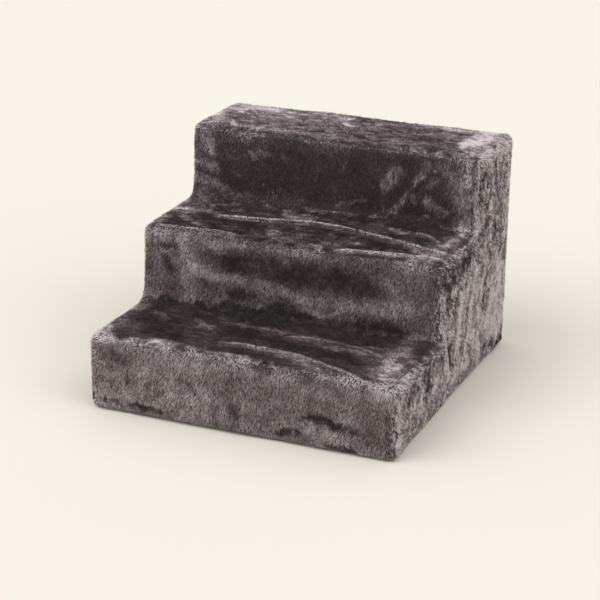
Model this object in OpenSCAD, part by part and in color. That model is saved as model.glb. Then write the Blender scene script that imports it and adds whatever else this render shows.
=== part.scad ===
// Three-step pet stairs: a plug-together plastic frame under a fitted plush cover.
// Millimetres, +Z up. The first step faces -Y, and the origin is the middle of the footprint on the floor.

/* [Overall size] */
// Width of the covered stairs, side to side
stairs_w = 410; // [360:5:460]
// Depth of one step, from one nosing to the next
step_run = 150; // [130:5:180]
// Height of one step
step_rise = 100; // [95:5:120]

/* [Plush cover] */
// Thickness of the plush, from its knitted back to the tips of the pile
plush_t = 9.8; // [8:0.2:11]
// Air between the plush and the frame
plush_gap = 0.6; // [0.4:0.1:1.2]
// Radius of the plush over a nosing
nosing_r = 14; // [13:1:20]
// Radius of the plush where a tread meets the next riser
crook_r = 18; // [10:1:20]
// Radius of the plush along the side edges and the upright corners
edge_r = 12; // [11.5:0.5:13]
// Height of the tallest fold on a tread
fold_h = 6; // [3:0.5:8]
// Half of a fold's width at its foot
fold_half = 6; // [5:0.5:8]
// Gap between two plush panels along their seam
seam_gap = 0.4; // [0.3:0.1:0.8]

/* [Hem] */
// Thickness of the plush where it is pressed flat under the frame
hem_t = 3; // [2:0.5:5]
// Height of the hem's turned-up edge
hem_h = 8; // [7:0.5:12]
// Radius of the hem's bottom edge
hem_r = 6; // [4:0.5:7]
// How far the hem reaches in under the frame
hem_reach = 25; // [20:1:28]
// Width of the elastic sewn along the hem's inner edge
elastic_w = 8; // [5:1:12]
// Hem left bare inside the elastic
elastic_margin = 2; // [1:0.5:3]
// Thickness of the elastic
elastic_t = 1.2; // [0.8:0.2:2]
// Corner radius of the hem's inner edge
hem_corner_r = 12; // [8:1:16]

/* [Posts] */
// Outer diameter of a post tube
post_d = 20; // [16:0.5:21]
// Wall of a post tube
post_wall = 1.8; // [1.2:0.2:3]
// Clearance between a post and the sockets and clips that hold it, on the radius
post_fit = 0.1; // [0.05:0.05:0.3]
// Wall of a socket or clip round a post
grip_wall = 2.2; // [1.8:0.2:2.8]
// Depth to which a post sits in a deck's socket
seat_depth = 12; // [8:1:14]
// Web inside a through socket, between the posts above and below
socket_web = 3; // [2:0.5:4]

/* [Decks] */
// Thickness of a deck's top plate
deck_t = 3; // [2:0.5:4]
// Depth of the skirt round a deck
skirt_h = 16; // [12:1:20]
// Thickness of the ribs and skirts on all moulded parts
rib_t = 2.2; // [1.6:0.2:3]
// Depth of the ribs under a deck
deck_rib_h = 11; // [8:1:12]
// Ribs that run front to back under a deck
deck_ribs = 9; // [5:1:11]
// Length of a slot in a deck's top plate
deck_slot_l = 26; // [20:1:30]
// Width of a slot in a deck's top plate
deck_slot_w = 7; // [5:1:9]

/* [Wall panels] */
// Thickness of a wall panel
panel_t = 2.5; // [2:0.5:3]
// Largest spacing of the windows in a wall panel
window_pitch = 36; // [30:1:40]
// Bar left between two windows
window_bar = 7; // [5:1:9]
// Chamfer of a window's corners
window_corner = 4; // [2:0.5:6]
// Solid border round the windows
panel_rim = 10; // [8:1:14]
// Depth of the stiffening ribs behind a wall panel
panel_rib = 7; // [4:1:9]
// Height of a snap clip on its post
clip_h = 10; // [8:1:11]
// Opening of a snap clip, as a share of the post's diameter
clip_mouth = 0.72; // [0.6:0.02:0.8]

/* [Base] */
// Width of a base rail
rail_w = 36; // [35:1:40]
// Height of a base rail
rail_h = 16; // [14:1:18]
// Length of the tongue on the end of a cross rail
tongue_l = 6; // [4:0.5:7]
// Diameter of a rubber foot
foot_d = 12; // [10:1:13]
// Diameter of the stem that a foot is pushed in by
foot_stem_d = 5; // [4:0.5:6]

/* [Hidden] */

steps = 3;
air = 0.3;          // gap where two pieces of the frame meet
clip_air = 0.2;     // gap between a clip and the wall panel next to it
round_fn = 48;      // facets of a drawn circle
stairs_d = steps * step_run;
stairs_h = steps * step_rise;

// The frame lies inside the plush by the same distance on every face.
frame_in = plush_t + plush_gap;
deck_nose_r = nosing_r - frame_in;
rib_depth = min(deck_rib_h, skirt_h - deck_t);
frame_w = stairs_w - 2 * frame_in;
frame_d = stairs_d - 2 * frame_in;
face_y = [for (k = [0:steps - 1]) -stairs_d / 2 + k * step_run + frame_in];
back_y = stairs_d / 2 - frame_in;
deck_top = [for (k = [1:steps]) k * step_rise - frame_in];

// Posts stand in four rows. A post's centre is post_in from the faces of the frame.
grip_r = post_d / 2 + post_fit + grip_wall;
post_in = panel_t + clip_air + grip_r;
post_x = frame_w / 2 - post_in;
row_y = [face_y[0] + post_in, face_y[1] + post_in, face_y[2] + post_in, back_y - post_in];
socket_h = 2 * seat_depth + socket_web;

rail_z = hem_t + elastic_t + air;
rail_top = rail_z + rail_h;
rail_floor = 3;
rail_in = frame_w / 2 - rail_w;
floor_z = [rail_top, deck_top[0], deck_top[1]];

// Clips share a post, so each kind of panel has its own height above a level.
face_clip = 1.5;
rear_clip = face_clip + clip_h + 2;
front_clip = rear_clip + clip_h + 2;

plush_colour = [0.30, 0.27, 0.27];
elastic_colour = [0.12, 0.12, 0.12];
frame_colour = [0.86, 0.86, 0.84];
tube_colour = [0.93, 0.93, 0.92];
rubber_colour = [0.10, 0.10, 0.10];

// Where the folds lie: tread, share of the flat part from its front edge at the left end, in the
// middle and at the right end, share of fold_h, and the ends of the fold as shares of half the width.
folds = [
    [0, 0.33, 0.33, 0.04, 0.85, -0.40, 0.90],
    [0, 0.80, 0.80, 0.60, 0.60, -0.60, 0.80],
    [1, 0.04, 0.04, 0.10, 0.60, -0.95, 0.95],
    [1, 0.47, 0.79, 0.30, 1.00, -0.80, 0.92],
    [1, 0.94, 0.98, 0.84, 0.50, 0.05, 0.92],
    [2, 0.30, 0.32, 0.28, 0.30, -0.90, 0.40],
    [2, 0.70, 0.66, 0.70, 0.35, -0.30, 0.95]
];

// A station on the plush's outline, seen from the side: y, z, outward normal, fold and which part of it.
function arc_stations(centre_y, centre_z, r, from, to, out, parts) = [
    for (i = [0:parts])
        let (a = from + (to - from) * i / parts)
        [centre_y + r * cos(a), centre_z + r * sin(a), out * cos(a), out * sin(a), -1, 0]
];

function nosing(y, z) = arc_stations(y + nosing_r, z - nosing_r, nosing_r, 180, 90, 1, 5);
function crook(y, z) = arc_stations(y - crook_r, z + crook_r, crook_r, 270, 360, -1, 4);
function back_edge(y, z) = arc_stations(y - nosing_r, z - nosing_r, nosing_r, 90, 0, 1, 5);

function plush_face(k) = -stairs_d / 2 + k * step_run;
function fold_rows(k) = [
    for (f = [0:len(folds) - 1], part = [-1, 0, 1]) if (folds[f][0] == k)
        [0, (k + 1) * step_rise, 0, 1, f, part]
];
function wall_row(y, z, out) = [[y, z, out, 0, -1, 0]];

// The outline from the front bottom edge, over the steps, to the back bottom edge.
function outline(with_folds) = [
    each wall_row(plush_face(0), hem_h + air, -1),
    for (k = [0:steps - 1]) each [
        each with_folds ? wall_row(plush_face(k), (k + 0.5) * step_rise, -1) : [],
        each nosing(plush_face(k), (k + 1) * step_rise),
        each with_folds ? fold_rows(k) : [],
        each k < steps - 1 ? crook(plush_face(k + 1), (k + 1) * step_rise)
            : back_edge(stairs_d / 2, stairs_h)
    ],
    each with_folds ? wall_row(stairs_d / 2, stairs_h / 2, 1) : [],
    each wall_row(stairs_d / 2, hem_h + air, 1)
];

// A fold's line across the tread bends through its three places, and its height fades out at its ends.
function flat_run(k) = step_run - nosing_r - (k < steps - 1 ? crook_r : nosing_r);
function fold_share(f, s) = f[2] + (f[3] - f[1]) / 2 * s + ((f[1] + f[3]) / 2 - f[2]) * s * s;
function fold_y(f, x) =
    plush_face(f[0]) + nosing_r + fold_half
    + (flat_run(f[0]) - 2 * fold_half) * fold_share(f, 2 * x / stairs_w);
function fold_fade(f, x) =
    let (s = (2 * x / stairs_w - f[5]) / (f[6] - f[5]))
    s <= 0 || s >= 1 ? 0 : pow(sin(180 * s), 0.7);
function spot(row, x, inward) =
    row[4] < 0
    ? [x, row[0] - inward * row[2], row[1] - inward * row[3]]
    : let (f = folds[row[4]])
        [x, fold_y(f, x) + row[5] * fold_half,
         row[1] - inward + (row[5] == 0 && inward < plush_t ? f[4] * fold_h * fold_fade(f, x) : 0)];

// The runner's columns across the width, each with its drop below the flat surface. The outer ones
// follow the rounded side edge down to its middle, where the seam is.
edge_angles = [0, 22.5, 45];
runner_parts = 10;
function runner_columns() =
    let (flat = stairs_w / 2 - edge_r, last = len(edge_angles) - 1)
    [
        for (i = [last:-1:1]) let (a = edge_angles[i])
            [-flat - edge_r * sin(a) + seam_gap, edge_r * (1 - cos(a))],
        for (i = [0:runner_parts]) [flat * (2 * i / runner_parts - 1), 0],
        for (i = [1:last]) let (a = edge_angles[i])
            [flat + edge_r * sin(a) - seam_gap, edge_r * (1 - cos(a))]
    ];

// One long strip of plush: riser, tread, riser, tread, riser, tread and back.
module cover_runner() {
    rows = outline(true);
    columns = runner_columns();
    n = len(rows);
    m = len(columns);
    inner_x = stairs_w / 2 - plush_t - seam_gap;
    outer = [for (row = rows, c = columns) spot(row, c[0], c[1])];
    inner = [for (row = rows, x = [-inner_x, inner_x]) spot(row, x, plush_t)];
    first_inner = n * m;
    function o(i, j) = i * m + j;
    function b(i, j) = first_inner + 2 * i + j;
    surface = [
        for (i = [0:n - 2], j = [0:m - 2]) each [
            [o(i, j), o(i + 1, j), o(i + 1, j + 1)],
            [o(i, j), o(i + 1, j + 1), o(i, j + 1)]
        ]
    ];
    lining = [for (i = [0:n - 2]) each [
        [b(i, 0), b(i + 1, 1), b(i + 1, 0)],
        [b(i, 0), b(i, 1), b(i + 1, 1)]
    ]];
    edges = [for (i = [0:n - 2]) each [
        [o(i, 0), b(i, 0), b(i + 1, 0)],
        [o(i, 0), b(i + 1, 0), o(i + 1, 0)],
        [o(i, m - 1), b(i + 1, 1), b(i, 1)],
        [o(i, m - 1), o(i + 1, m - 1), b(i + 1, 1)]
    ]];
    front_end = [
        for (j = [0:m - 2]) [b(0, 0), o(0, j), o(0, j + 1)],
        [b(0, 0), o(0, m - 1), b(0, 1)]
    ];
    back_end = [
        for (j = [0:m - 2]) [b(n - 1, 0), o(n - 1, j + 1), o(n - 1, j)],
        [b(n - 1, 0), b(n - 1, 1), o(n - 1, m - 1)]
    ];
    color(plush_colour)
        polyhedron(concat(outer, inner), concat(surface, lining, edges, front_end, back_end));
}

// A stepped side of plush. Its rounded rim meets the runner along a mitre.
module cover_side() {
    rows = outline(false);
    n = len(rows);
    rim_angles = [45, 67.5, 90];
    layers = [
        [stairs_w / 2 - plush_t, plush_t],
        for (a = rim_angles)
            [stairs_w / 2 - edge_r * (1 - sin(a)), edge_r * (1 - cos(a))]
    ];
    last = len(layers) - 1;
    points = [for (layer = layers, row = rows) spot(row, layer[0], layer[1])];
    rim = [for (i = [0:last - 1], j = [0:n - 1])
        let (k = (j + 1) % n)
        each [
            [i * n + j, i * n + k, (i + 1) * n + k],
            [i * n + j, (i + 1) * n + k, (i + 1) * n + j]
        ]
    ];
    // Every station of a stepped side is in sight of its bottom back corner, so the flat faces are fans.
    inside = [for (j = [0:n - 3]) [n - 1, j + 1, j]];
    outside = [for (j = [0:n - 3]) [last * n + n - 1, last * n + j, last * n + j + 1]];
    color(plush_colour)
        polyhedron(points, concat(rim, inside, outside));
}

// The hem's cut end, measured from the centre of an upright corner's radius.
module hem_section() {
    arc_parts = 8;
    polygon([
        [0, 0],
        for (i = [0:arc_parts]) let (a = -90 + 90 * i / arc_parts)
            [edge_r - hem_r + hem_r * cos(a), hem_r + hem_r * sin(a)],
        [edge_r, hem_h],
        [edge_r - plush_t, hem_h],
        [edge_r - plush_t, hem_t],
        [0, hem_t]
    ]);
}

module rounded(w, d, r) {
    corners = [[1, 1, 0], [-1, 1, 90], [-1, -1, 180], [1, -1, 270]];
    arc_parts = 6;
    polygon([
        for (c = corners, i = [0:arc_parts]) let (a = c[2] + 90 * i / arc_parts)
            [c[0] * (w / 2 - r) + r * cos(a), c[1] * (d / 2 - r) + r * sin(a)]
    ]);
}

// The turned-in hem that grips the frame from below.
module cover_hem() {
    half_w = stairs_w / 2 - edge_r;
    half_d = stairs_d / 2 - edge_r;
    color(plush_colour) {
        for (corner = [[1, 1, 0], [-1, 1, 90], [-1, -1, 180], [1, -1, 270]])
            translate([corner[0] * half_w, corner[1] * half_d, 0])
                rotate(corner[2]) rotate_extrude(angle = 90, $fn = round_fn) hem_section();
        for (side = [0, 180]) {
            rotate(side) translate([half_w, half_d, 0])
                rotate([90, 0, 0]) linear_extrude(2 * half_d) hem_section();
            rotate(side) translate([-half_w, half_d, 0])
                rotate([90, 0, 90]) linear_extrude(2 * half_w) hem_section();
        }
        linear_extrude(hem_t) difference() {
            square([2 * half_w, 2 * half_d], center = true);
            rounded(stairs_w - 2 * hem_reach, stairs_d - 2 * hem_reach, hem_corner_r);
        }
    }
}

// A flat elastic, sewn on top of the hem just outside its inner edge.
module hem_elastic() {
    inner = hem_reach - elastic_margin;
    outer = inner - elastic_w;
    color(elastic_colour)
        translate([0, 0, hem_t]) linear_extrude(elastic_t) difference() {
            rounded(stairs_w - 2 * outer, stairs_d - 2 * outer, hem_corner_r + elastic_w);
            rounded(stairs_w - 2 * inner, stairs_d - 2 * inner, hem_corner_r);
        }
}

// The wall of a post's socket, open at the bottom and, where a post also stands on it, at the top.
module socket_bore(z, depth, up) {
    translate([0, 0, up ? z : z - depth])
        cylinder(r = post_d / 2 + post_fit, h = depth, $fn = round_fn);
}

module window(w, h) {
    cut = min(window_corner, w / 3, h / 3);
    polygon([
        [-w / 2 + cut, -h / 2], [w / 2 - cut, -h / 2], [w / 2, -h / 2 + cut], [w / 2, h / 2 - cut],
        [w / 2 - cut, h / 2], [-w / 2 + cut, h / 2], [-w / 2, h / 2 - cut], [-w / 2, -h / 2 + cut]
    ]);
}

// A rectangle from y = front to y = rear with rounded front corners.
module front_rounded(w, front, rear, r) {
    intersection() {
        translate([0, (front + rear + r) / 2]) rounded(w, rear - front + r, r);
        translate([-w / 2, front]) square([w, rear - front]);
    }
}

// A deck's plan, or with an inset the space inside its skirt. The upper deck is rounded at the back too.
module deck_plan(k, inset) {
    w = frame_w - 2 * inset;
    front = face_y[k] + inset;
    r = post_in - inset;
    if (k == steps - 1)
        translate([0, (front + back_y - inset) / 2]) rounded(w, back_y - inset - front, r);
    else
        front_rounded(w, front, row_y[k + 1] - air, r);
}

// A moulded tread: slotted plate, skirt, ribs and four post sockets. The lower decks end in a strip
// that carries the next riser between its posts.
module deck(k) {
    top_deck = k == steps - 1;
    top = deck_top[k];
    front = face_y[k];
    rear = top_deck ? back_y : row_y[k + 1] + rib_t;
    inner_rear = top_deck ? back_y - rib_t : row_y[k + 1] - air;
    plate_mid = (front + rear) / 2;
    plate_d = rear - front;
    rows = [row_y[k], row_y[k + 1]];
    rib_pitch = 2 * (post_x - grip_r) / (deck_ribs - 1);
    rib_x = [for (i = [0:deck_ribs - 1]) -(post_x - grip_r) + i * rib_pitch];
    slot_pitch = 2.6 * deck_slot_w;
    slot_rows = floor((plate_d - 40) / slot_pitch);
    slot_l = min(deck_slot_l, rib_pitch - 3 * rib_t);
    color(frame_colour) difference() {
        union() {
            // Top plate
            translate([0, 0, top - deck_t]) linear_extrude(deck_t) difference() {
                deck_plan(k, 0);
                for (i = [0:deck_ribs - 2], j = [0:slot_rows - 1])
                    translate([
                        rib_x[i] + rib_pitch / 2,
                        plate_mid + (j - (slot_rows - 1) / 2) * slot_pitch
                    ])
                        window(slot_l, deck_slot_w);
            }
            // Skirt
            translate([0, 0, top - skirt_h]) linear_extrude(skirt_h - deck_t) difference() {
                deck_plan(k, 0);
                deck_plan(k, rib_t);
                if (!top_deck)
                    translate([-post_x, inner_rear - rib_t - 1]) square([2 * post_x, rib_t + 2]);
            }
            // Strip behind the lower decks' sockets
            if (!top_deck)
                translate([-post_x, inner_rear - 0.1, top - skirt_h])
                    cube([2 * post_x, rear - inner_rear + 0.1, skirt_h]);
            // Ribs from front to back, and one across the middle
            for (x = rib_x)
                translate([x - rib_t / 2, front + rib_t - 0.1, top - deck_t - rib_depth])
                    cube([rib_t, inner_rear - front - rib_t + 0.2, rib_depth]);
            translate([-frame_w / 2 + rib_t - 0.1, plate_mid - rib_t / 2, top - deck_t - rib_depth])
                cube([frame_w - 2 * rib_t + 0.2, rib_t, rib_depth]);
            // Sockets
            for (x = [-post_x, post_x], y = rows)
                translate([x, y, top - socket_h])
                    cylinder(r = grip_r, h = socket_h, $fn = round_fn);
        }
        // Front sockets are blind. The rear ones of the lower decks also take a post from above.
        for (x = [-post_x, post_x]) {
            translate([x, rows[0], 0]) socket_bore(top - deck_t, socket_h, false);
            translate([x, rows[1], 0])
                if (top_deck) socket_bore(top - deck_t, socket_h, false);
                else {
                    socket_bore(top - seat_depth - socket_web, socket_h, false);
                    socket_bore(top - seat_depth, seat_depth + 1, true);
                }
        }
        // Rounded nosing, and the same along the back of the upper deck
        nose_cut(front, top, 1);
        if (top_deck) nose_cut(back_y, top, -1);
    }
}

module nose_cut(y, top, way) {
    translate([-frame_w / 2 - 1, y + way * deck_nose_r, top - deck_nose_r])
        rotate([90, 0, 90]) linear_extrude(frame_w + 2) difference() {
            translate([way > 0 ? -deck_nose_r - 1 : 0, 0]) square(deck_nose_r + 1);
            circle(r = deck_nose_r, $fn = round_fn);
        }
}

// A clip that snaps onto a post from outside. The post's centre is at the origin, outside is -Y, and
// the panel that carries the clip lies towards way, 1 for +X and -1 for -X.
module snap_clip(z, way) {
    mouth = clip_mouth * post_d;
    root = post_d / 3;
    translate([0, 0, z]) difference() {
        union() {
            cylinder(r = grip_r, h = clip_h, $fn = round_fn);
            translate([way > 0 ? air : -air - root, -grip_r - clip_air - 0.5, 0])
                cube([root, grip_wall + clip_air + 1.5, clip_h]);
        }
        translate([0, 0, -1]) cylinder(r = post_d / 2 + post_fit, h = clip_h + 2, $fn = round_fn);
        translate([-mouth / 2, 0, -1]) cube([mouth, grip_r + 1, clip_h + 2]);
    }
}

// A wall panel seen from above. Its outer face is on the line y = 0. With wrap it goes on round both
// posts, and otherwise it stops just short of the next panel.
module wall_plan(gap, wrap) {
    trim = wrap ? 0 : air;
    lap = 0.1;
    translate([-gap / 2 + trim, 0]) square([gap - 2 * trim, panel_t]);
    if (wrap)
        for (side = [0, 1]) mirror([side, 0])
            translate([gap / 2, post_in]) difference() {
                intersection() {
                    circle(r = post_in, $fn = 2 * round_fn);
                    translate([-lap, -post_in]) square([post_in + lap, post_in]);
                }
                circle(r = post_in - panel_t, $fn = 2 * round_fn);
            }
}

// A wall panel of windows and bars that grips two posts, gap apart. clips holds a list of heights for
// the left post and one for the right.
module wall_panel(gap, h, clips, wrap) {
    wide = gap - 2 * grip_r - panel_rim;
    columns = max(1, ceil(wide / window_pitch));
    tall = h - 2 * panel_rim;
    window_rows = max(1, ceil(tall / (1.2 * window_pitch)));
    pitch_x = wide / columns;
    pitch_z = (tall + window_bar) / window_rows;
    first_z = panel_rim + (pitch_z - window_bar) / 2;
    rib_l = gap - 2 * grip_r - 2 * air;
    color(frame_colour) {
        difference() {
            linear_extrude(h) wall_plan(gap, wrap);
            for (i = [0:columns - 1], j = [0:window_rows - 1])
                translate([(i - (columns - 1) / 2) * pitch_x, panel_t + 1, first_z + j * pitch_z])
                    rotate([90, 0, 0]) linear_extrude(panel_t + 2)
                        window(pitch_x - window_bar, pitch_z - window_bar);
        }
        // Stiffening ribs along the top and the bottom
        for (z = [0, h - rib_t])
            translate([-rib_l / 2, panel_t / 2, z]) cube([rib_l, panel_t / 2 + panel_rib, rib_t]);
        for (z = clips[0]) translate([-gap / 2, post_in, 0]) snap_clip(z, 1);
        for (z = clips[1]) translate([gap / 2, post_in, 0]) snap_clip(z, -1);
    }
}

module riser_panel(k) {
    h = deck_top[k] - skirt_h - floor_z[k] - 2 * air;
    translate([0, face_y[k], floor_z[k] + air])
        wall_panel(2 * post_x, h, [[face_clip], [face_clip]], true);
}

module back_panel(k) {
    top = k < steps - 1 ? floor_z[k + 1] : deck_top[k] - skirt_h;
    translate([0, back_y, floor_z[k] + air]) rotate(180)
        wall_panel(2 * post_x, top - floor_z[k] - 2 * air, [[face_clip], [face_clip]], true);
}

// The side panel of bay k closes the side from the base rail up to deck k.
module side_panel(k) {
    h = deck_top[k] - skirt_h - floor_z[0] - 2 * air;
    levels = [for (i = [0:k]) floor_z[i] - floor_z[0]];
    translate([frame_w / 2, (row_y[k] + row_y[k + 1]) / 2, floor_z[0] + air]) rotate(90)
        wall_panel(
            row_y[k + 1] - row_y[k], h,
            [[for (z = levels) z + front_clip], [for (z = levels) z + rear_clip]],
            false
        );
}

// A post tube in row r, between two heights.
module post(r, from, to) {
    color(tube_colour) translate([post_x, row_y[r], from]) difference() {
        cylinder(d = post_d, h = to - from, $fn = round_fn);
        translate([0, 0, -1]) cylinder(d = post_d - 2 * post_wall, h = to - from + 2, $fn = round_fn);
    }
}

function on_rail() = rail_z + rail_floor + air / 2;
function on_deck(k) = deck_top[k] - seat_depth + air / 2;
function below_web(k) = deck_top[k] - seat_depth - socket_web - air / 2;
function below_plate(k) = deck_top[k] - deck_t - air / 2;

// Feet stand midway between the rows of posts, clear of the hem's inner edge.
foot_x = stairs_w / 2 - hem_reach - 2 - foot_d / 2;
foot_y = [for (r = [0:2]) (row_y[r] + row_y[r + 1]) / 2];
foot_boss_d = foot_stem_d + 2 * rib_t;
foot_hole_h = rail_h - 4;

// Tongues of the cross rails, in slots of the base rails
tongue_w = 14;
tongue_h = 6;
tongue_z = rail_z + 3;

// A base rail's plan, or with an inset the space inside its walls.
module rail_plan(inset) {
    intersection() {
        rounded(frame_w - 2 * inset, frame_d - 2 * inset, post_in - inset);
        translate([rail_in + inset, -frame_d / 2]) square([rail_w, frame_d]);
    }
}

// A base rail: an inverted tray with a socket for each post and a boss for each foot.
module base_rail() {
    color(frame_colour) difference() {
        union() {
            translate([0, 0, rail_z]) difference() {
                linear_extrude(rail_h) rail_plan(0);
                translate([0, 0, -1]) linear_extrude(rail_h - rail_floor + 1) rail_plan(rib_t);
            }
            for (y = row_y)
                translate([post_x, y, rail_z]) cylinder(r = grip_r, h = rail_h, $fn = round_fn);
            for (y = foot_y) {
                translate([foot_x, y, rail_z])
                    cylinder(d = foot_boss_d, h = rail_h - 1, $fn = round_fn);
                translate([rail_in + rib_t / 2, y - rib_t / 2, rail_z + 2])
                    cube([rail_w - rib_t, rib_t, rail_h - 3]);
            }
        }
        for (y = row_y)
            translate([post_x, y, rail_z + rail_floor])
                cylinder(r = post_d / 2 + post_fit, h = rail_h, $fn = round_fn);
        for (y = foot_y)
            translate([foot_x, y, rail_z - 1])
                cylinder(d = foot_stem_d + 2 * post_fit, h = foot_hole_h + 1, $fn = round_fn);
        for (y = row_y)
            translate([rail_in - 1, y - tongue_w / 2 - air, tongue_z - air])
                cube([rib_t + 2, tongue_w + 2 * air, tongue_h + 2 * air]);
    }
}

// A cross rail ties the two base rails together under a row of posts. Its tongues stop short of the
// sockets inside them.
module cross_rail(r) {
    half = rail_in - air;
    wide = 2 * post_in;
    color(frame_colour) translate([0, row_y[r], 0]) {
        translate([-half, -wide / 2, rail_z]) difference() {
            cube([2 * half, wide, rail_h]);
            translate([rib_t, rib_t, -1])
                cube([2 * half - 2 * rib_t, wide - 2 * rib_t, rail_h - rail_floor + 1]);
        }
        for (i = [1:6])
            translate([-half + i * 2 * half / 7 - rib_t / 2, -wide / 2 + rib_t / 2, rail_z + 2])
                cube([rib_t, wide - rib_t, rail_h - 3]);
        for (side = [-1, 1])
            translate([side > 0 ? half - 1 : -half - tongue_l, -tongue_w / 2, tongue_z])
                cube([tongue_l + 1, tongue_w, tongue_h]);
    }
}

module rubber_feet() {
    stem_h = foot_hole_h - air;
    color(rubber_colour)
        for (side = [-1, 1], y = foot_y) translate([side * foot_x, y, 0]) {
            cylinder(d1 = foot_d - 1, d2 = foot_d, h = 1, $fn = round_fn);
            translate([0, 0, 1]) cylinder(d = foot_d, h = rail_z - 1 - air / 2, $fn = round_fn);
            cylinder(d = foot_stem_d, h = rail_z + stem_h, $fn = round_fn);
        }
}

module left_side() {
    mirror([1, 0, 0]) children();
}

cover_runner();
cover_side();  // cover_side_right
left_side() cover_side();  // cover_side_left
cover_hem();
hem_elastic();
deck(0);  // deck_lower
deck(1);  // deck_middle
deck(2);  // deck_upper
riser_panel(0);  // riser_panel_lower
riser_panel(1);  // riser_panel_middle
riser_panel(2);  // riser_panel_upper
back_panel(0);  // back_panel_lower
back_panel(1);  // back_panel_middle
back_panel(2);  // back_panel_upper
side_panel(0);  // side_panel_right_front
side_panel(1);  // side_panel_right_middle
side_panel(2);  // side_panel_right_back
left_side() side_panel(0);  // side_panel_left_front
left_side() side_panel(1);  // side_panel_left_middle
left_side() side_panel(2);  // side_panel_left_back
post(0, on_rail(), below_plate(0));  // post_front_right
left_side() post(0, on_rail(), below_plate(0));  // post_front_left
post(1, on_rail(), below_web(0));  // post_second_lower_right
left_side() post(1, on_rail(), below_web(0));  // post_second_lower_left
post(1, on_deck(0), below_plate(1));  // post_second_upper_right
left_side() post(1, on_deck(0), below_plate(1));  // post_second_upper_left
post(2, on_rail(), below_web(1));  // post_third_lower_right
left_side() post(2, on_rail(), below_web(1));  // post_third_lower_left
post(2, on_deck(1), below_plate(2));  // post_third_upper_right
left_side() post(2, on_deck(1), below_plate(2));  // post_third_upper_left
post(3, on_rail(), below_plate(2));  // post_back_right
left_side() post(3, on_rail(), below_plate(2));  // post_back_left
base_rail();  // base_rail_right
left_side() base_rail();  // base_rail_left
cross_rail(0);  // cross_rail_front
cross_rail(1);  // cross_rail_second
cross_rail(2);  // cross_rail_third
cross_rail(3);  // cross_rail_back
rubber_feet();
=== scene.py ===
"""Three-step pet stairs: a plug-together plastic frame under a fitted plush cover.

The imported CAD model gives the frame. This script dresses it: the plush panels with their folds and
their brushed pile, the turned-in hem with its elastic, the plastics, the stage and the light.
"""
import math

import bmesh
import bpy
import numpy as np
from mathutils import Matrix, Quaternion, Vector


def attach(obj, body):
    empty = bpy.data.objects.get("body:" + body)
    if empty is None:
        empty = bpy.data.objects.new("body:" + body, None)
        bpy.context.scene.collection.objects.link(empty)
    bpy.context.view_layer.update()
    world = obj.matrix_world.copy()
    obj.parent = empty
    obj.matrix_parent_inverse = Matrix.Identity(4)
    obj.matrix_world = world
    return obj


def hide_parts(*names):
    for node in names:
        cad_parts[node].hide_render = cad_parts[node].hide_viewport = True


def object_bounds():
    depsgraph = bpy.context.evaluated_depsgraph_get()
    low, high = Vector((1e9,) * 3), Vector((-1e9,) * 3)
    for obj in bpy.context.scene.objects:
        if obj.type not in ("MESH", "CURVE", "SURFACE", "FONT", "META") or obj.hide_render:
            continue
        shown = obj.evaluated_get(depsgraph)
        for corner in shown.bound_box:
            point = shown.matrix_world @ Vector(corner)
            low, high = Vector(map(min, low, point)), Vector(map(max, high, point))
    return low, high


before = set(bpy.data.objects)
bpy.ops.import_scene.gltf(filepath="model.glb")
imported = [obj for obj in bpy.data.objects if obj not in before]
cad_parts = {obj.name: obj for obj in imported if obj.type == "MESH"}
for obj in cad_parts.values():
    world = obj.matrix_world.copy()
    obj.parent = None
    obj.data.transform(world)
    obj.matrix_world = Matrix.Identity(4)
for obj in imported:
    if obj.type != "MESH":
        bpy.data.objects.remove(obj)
cad_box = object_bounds()

# Sizes, in metres, as in the CAD model
MM = 0.001
HALF_W = cad_box[1].x
FRONT, BACK = cad_box[0].y, cad_box[1].y
STEPS = 3
RUN = (BACK - FRONT) / STEPS
RISE = 0.100
NOSING_R = 0.014
CROOK_R = 0.018
EDGE_R = 0.012
HEM_REACH = 0.025
ELASTIC_W = 0.008
ELASTIC_MARGIN = 0.002

# The knitted backing: its depth below the tips of the pile, also where the hem is pressed flat, its
# thickness, how far round the rolled edges its seams lie, and the height at which the hem begins
PILE_H = 0.0028
PRESSED_H = 0.0018
BACKING_T = 0.0012
SEAM = math.pi / 4
FLAT_W = HALF_W - EDGE_R
HEM_TOP = 0.0105

# The cells of its mesh, and a place in the stairs' body that all of the runner faces away from
CELL_ACROSS = 0.005
CELL_ALONG = 0.0025
CELL_SIDE = 0.8 * CELL_ACROSS
CELLS_AROUND = round(4 * (HALF_W - FRONT) / CELL_ACROSS)
HEM_ROWS = 14
BODY_CORE = Vector((0, 0.08, 0.04))

# How far the cloth strays from its even outline: its waves, each with a height, a size and a seed,
# more waves at the foot, the sides drawn in at the foot and at the top, and a bulge low at the back
WAVES = ((0.0012, 0.055, 1), (0.0006, 0.018, 2))
FOOT_WAVES = 0.0012
FOOT_IN = 0.0030
TOP_IN = 0.0012
BACK_OUT = 0.0016

# The height of the hem's gathers, the elastic's upper face, and its ripples and ribs
GATHER_H = 0.0006
ELASTIC_TOP = 0.0041
RIPPLE_H = 0.0003
RIB_H = 0.00012
ELASTIC_RIBS = 7

# The pile: the way it is combed, the way its strands run on the treads, the tufts on a square metre
# where they are seen and elsewhere, the most tufts in one piece, a tuft's length, its width, the
# depth of its root and its lean in degrees, and the least height of its points over the floor
COMB = np.array((0.0, -0.25, -1.0))
ACROSS = np.array((1.0, 0.0, 0.0))
FULL_PILE = 0.82e6
THIN_PILE = 0.50e6
MOST_TUFTS = 49000
TUFT_L = 0.0044
TUFT_W = 0.00135
ROOT_DEPTH = 0.0006
LEAN = 47
FLOOR_GAP = 0.0003

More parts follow.
